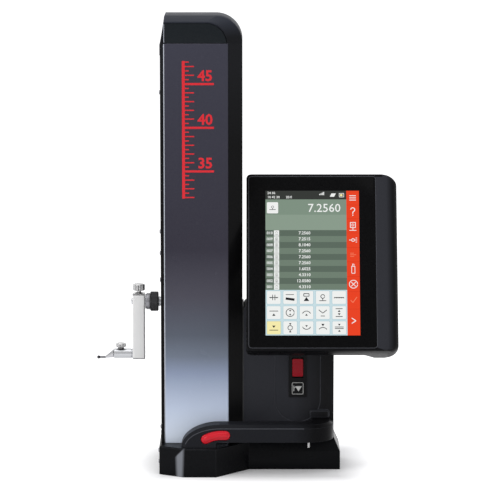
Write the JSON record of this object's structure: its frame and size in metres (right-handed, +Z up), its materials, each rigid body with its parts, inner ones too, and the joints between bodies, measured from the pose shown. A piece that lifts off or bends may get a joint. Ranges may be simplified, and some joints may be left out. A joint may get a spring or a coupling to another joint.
{
  "type": "height gauge",
  "caption": "Free-standing height gauge: cast base, tall guide column, sliding probe carrier, tilting touch display and a handle with an air button.",
  "frame": {"origin": "centre of the base on its flat seat", "axes": "+Z up along the column, +X from the probe towards the display, -Y towards the operator"},
  "size_m": [0.3479, 0.1697, 0.5265],
  "materials": {
    "cast_black": "fine black casting paint",
    "handle_black": "fine textured black",
    "housing_grey": "fine textured dark grey",
    "display_black": "satin black",
    "panel_slate": "gloss slate lacquer",
    "cover_black": "satin black",
    "screen_glass": "black glass",
    "red_plastic": "gloss red",
    "black_plastic": "satin black",
    "probe_satin": "satin grey",
    "knurled_black": "black oxide",
    "polished_steel": "fine turned steel",
    "screw_steel": "plated steel",
    "ball_carbide": "polished carbide",
    "raw_aluminium": "natural anodised",
    "cast_weight": "grey",
    "motor_steel": "plain",
    "belt_black": "matt",
    "brass": "plain",
    "scale_glass": "clear with fine lines",
    "board_green": "circuit board"
  },
  "bodies": {
    "gauge": {"air_jets": "brass", "air_pump": "motor_steel", "air_valve": "brass", "base_casting": "cast_black", "cap_inserts": "panel_slate", "column_bolts": "screw_steel", "column_profile": "raw_aluminium", "control_board": "board_green", "cover_screws": "screw_steel", "drive_belt": "belt_black", "drive_motor": "motor_steel", "end_stops": "knurled_black", "front_strips": "cover_black", "glass_scale": "scale_glass", "guide_rail": "polished_steel", "handle_plate": "handle_black", "handle_shell": "handle_black", "housing_back": "housing_grey", "housing_front": "housing_grey", "housing_screws": "screw_steel", "jog_plate": "black_plastic", "jog_tiles": "black_plastic", "motor_bracket": "raw_aluminium", "pulley_axle": "polished_steel", "rail_screws": "screw_steel", "rear_cover": "cover_black", "side_panel_back": "panel_slate", "side_panel_front": "panel_slate", "tilt_bracket": "raw_aluminium", "tilt_pin": "polished_steel", "top_cap": "cover_black"},
    "carriage": {"carriage_plate": "raw_aluminium", "bearing_blocks": "polished_steel", "carriage_screws": "screw_steel", "scale_reader": "black_plastic", "carriage_clamp": "raw_aluminium", "probe_spindle": "polished_steel", "spindle_collar": "probe_satin"},
    "counterweight": {"counterweight": "cast_weight", "weight_clamp": "raw_aluminium"},
    "top_pulley": {"top_pulley": "raw_aluminium"},
    "drive_pulley": {"drive_pulley": "raw_aluminium", "drive_shaft": "polished_steel"},
    "clamp_ring": {"clamp_ring": "knurled_black"},
    "arm": {"probe_arm": "probe_satin", "insert_sleeve": "polished_steel"},
    "arm_screw": {"arm_thumbscrew": "polished_steel"},
    "insert_screw": {"insert_thumbscrew": "polished_steel"},
    "insert": {"stylus": "polished_steel", "probe_ball": "ball_carbide"},
    "air_button": {"air_button": "red_plastic"},
    "jog": {"jog_lever": "red_plastic"},
    "display": {"display_shell": "display_black", "display_screws": "screw_steel", "display_glass": "screen_glass", "lcd_panel": "board_green", "display_frame": "raw_aluminium", "display_board": "board_green", "battery_pack": "black_plastic", "tilt_arm": "raw_aluminium"}
  },
  "joints": [
    {"name": "carriage_slide", "type": "slide", "parent": "gauge", "child": "carriage", "axis": [0, 0, 1], "range_m": [-0.124, 0.226]},
    {"name": "counterweight_slide", "type": "slide", "parent": "gauge", "child": "counterweight", "axis": [0, 0, 1], "range_m": [-0.2261, 0.1241]},
    {"name": "top_pulley_spin", "type": "hinge", "parent": "gauge", "child": "top_pulley", "pos_m": [-0.052, 0.024, 0.48], "axis": [0, 1, 0], "range_deg": [-1320, 1320]},
    {"name": "drive_pulley_spin", "type": "hinge", "parent": "gauge", "child": "drive_pulley", "pos_m": [-0.052, 0.024, 0.056], "axis": [0, 1, 0], "range_deg": [-1320, 1320]},
    {"name": "clamp_ring_turn", "type": "hinge", "parent": "carriage", "child": "clamp_ring", "pos_m": [-0.111, 0, 0.1926], "axis": [1, 0, 0], "range_deg": [-180, 180]},
    {"name": "arm_swivel", "type": "hinge", "parent": "carriage", "child": "arm", "pos_m": [-0.129, 0, 0.1926], "axis": [1, 0, 0], "range_deg": [-90, 90]},
    {"name": "arm_screw_turn", "type": "hinge", "parent": "arm", "child": "arm_screw", "pos_m": [-0.12915, 0, 0.205], "axis": [0, 0, 1], "range_deg": [-90, 360]},
    {"name": "insert_screw_turn", "type": "hinge", "parent": "arm", "child": "insert_screw", "pos_m": [-0.1504, 0, 0.139], "axis": [0, 0, 1], "range_deg": [-90, 360]},
    {"name": "insert_pull", "type": "slide", "parent": "arm", "child": "insert", "axis": [-1, 0, 0], "range_m": [0, 0.018]},
    {"name": "air_button_press", "type": "slide", "parent": "gauge", "child": "air_button", "axis": [0, 1, 0], "range_m": [0, 0.003], "stiffness_N_per_m": 800, "springref_m": -0.002},
    {"name": "jog_tilt", "type": "hinge", "parent": "gauge", "child": "jog", "pos_m": [0.0552, -0.0264, 0.1194], "axis": [1, 0, 0], "range_deg": [-10, 10], "stiffness_Nm_per_rad": 0.2},
    {"name": "display_tilt", "type": "hinge", "parent": "gauge", "child": "display", "pos_m": [0.058, -0.042, 0.178], "axis": [1, 0, 0], "range_deg": [-30, 20]}
  ],
  "couplings": [
    {"joint": "counterweight_slide", "follows": "carriage_slide", "ratio": -1},
    {"joint": "top_pulley_spin", "follows": "carriage_slide", "rad_per_m": 100},
    {"joint": "drive_pulley_spin", "follows": "carriage_slide", "rad_per_m": 100}
  ]
}
